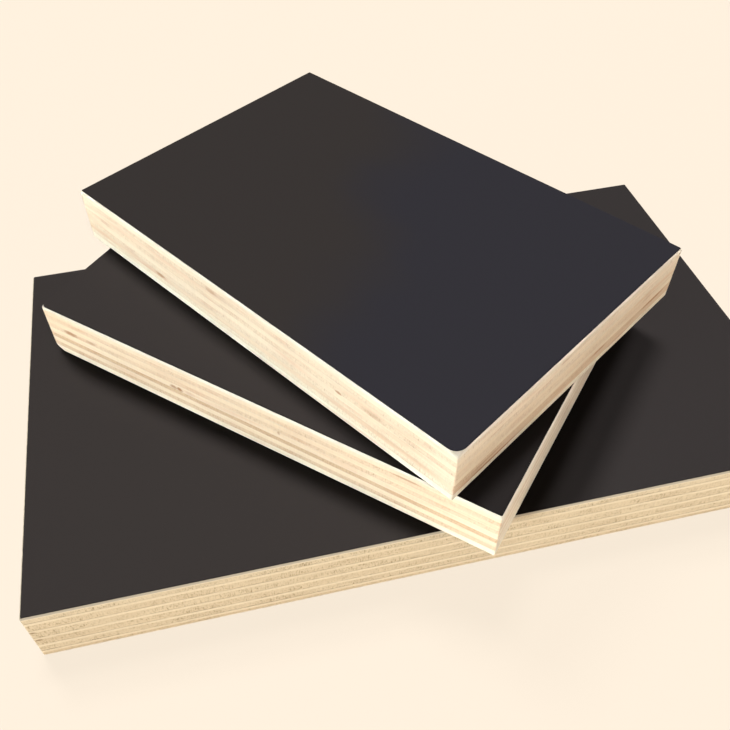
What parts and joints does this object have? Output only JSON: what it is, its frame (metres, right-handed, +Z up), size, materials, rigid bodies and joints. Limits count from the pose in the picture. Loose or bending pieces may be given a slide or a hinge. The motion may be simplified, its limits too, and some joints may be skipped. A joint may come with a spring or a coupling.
{
  "type": "stack of film-faced plywood sheets",
  "caption": "Rectangular film-faced plywood sheets of two sizes lying on each other at different angles, with bare sawn edges that show the veneer plies.",
  "frame": {"origin": "centre of the bottom sheet's underside, on the floor", "axes": "+X along the bottom sheet's long edges, +Y along its short edges, +Z up"},
  "size_m": [0.22, 0.187, 0.057],
  "materials": {
    "black_film": "satin black phenolic film",
    "pale_long_veneer": "pale sawn veneer edge, grain along the sheet",
    "pale_cross_veneer": "tan sawn veneer edge, grain across the sheet",
    "base_long_veneer": "thin light veneer edge, grain along the sheet",
    "base_cross_veneer": "speckled sawn core veneer, grain across the sheet"
  },
  "bodies": {
    "root": {"bottom_sheet_lower_film": "black_film", "bottom_sheet_ply_10_cross_grain": "base_cross_veneer", "bottom_sheet_ply_11_long_grain": "base_long_veneer", "bottom_sheet_ply_12_cross_grain": "base_cross_veneer", "bottom_sheet_ply_13_long_grain": "base_long_veneer", "bottom_sheet_ply_1_long_grain": "base_long_veneer", "bottom_sheet_ply_2_cross_grain": "base_cross_veneer", "bottom_sheet_ply_3_long_grain": "base_long_veneer", "bottom_sheet_ply_4_cross_grain": "base_cross_veneer", "bottom_sheet_ply_5_long_grain": "base_long_veneer", "bottom_sheet_ply_6_cross_grain": "base_cross_veneer", "bottom_sheet_ply_7_long_grain": "base_long_veneer", "bottom_sheet_ply_8_cross_grain": "base_cross_veneer", "bottom_sheet_ply_9_long_grain": "base_long_veneer", "bottom_sheet_upper_film": "black_film", "middle_sheet_lower_film": "black_film", "middle_sheet_ply_1_long_grain": "pale_long_veneer", "middle_sheet_ply_2_cross_grain": "pale_cross_veneer", "middle_sheet_ply_3_long_grain": "pale_long_veneer", "middle_sheet_ply_4_cross_grain": "pale_cross_veneer", "middle_sheet_ply_5_long_grain": "pale_long_veneer", "middle_sheet_ply_6_cross_grain": "pale_cross_veneer", "middle_sheet_ply_7_long_grain": "pale_long_veneer", "middle_sheet_ply_8_cross_grain": "pale_cross_veneer", "middle_sheet_ply_9_long_grain": "pale_long_veneer", "middle_sheet_upper_film": "black_film", "top_sheet_lower_film": "black_film", "top_sheet_ply_1_long_grain": "pale_long_veneer", "top_sheet_ply_2_cross_grain": "pale_cross_veneer", "top_sheet_ply_3_long_grain": "pale_long_veneer", "top_sheet_ply_4_cross_grain": "pale_cross_veneer", "top_sheet_ply_5_long_grain": "pale_long_veneer", "top_sheet_ply_6_cross_grain": "pale_cross_veneer", "top_sheet_ply_7_long_grain": "pale_long_veneer", "top_sheet_ply_8_cross_grain": "pale_cross_veneer", "top_sheet_ply_9_long_grain": "pale_long_veneer", "top_sheet_upper_film": "black_film"}
  },
  "joints": []
}
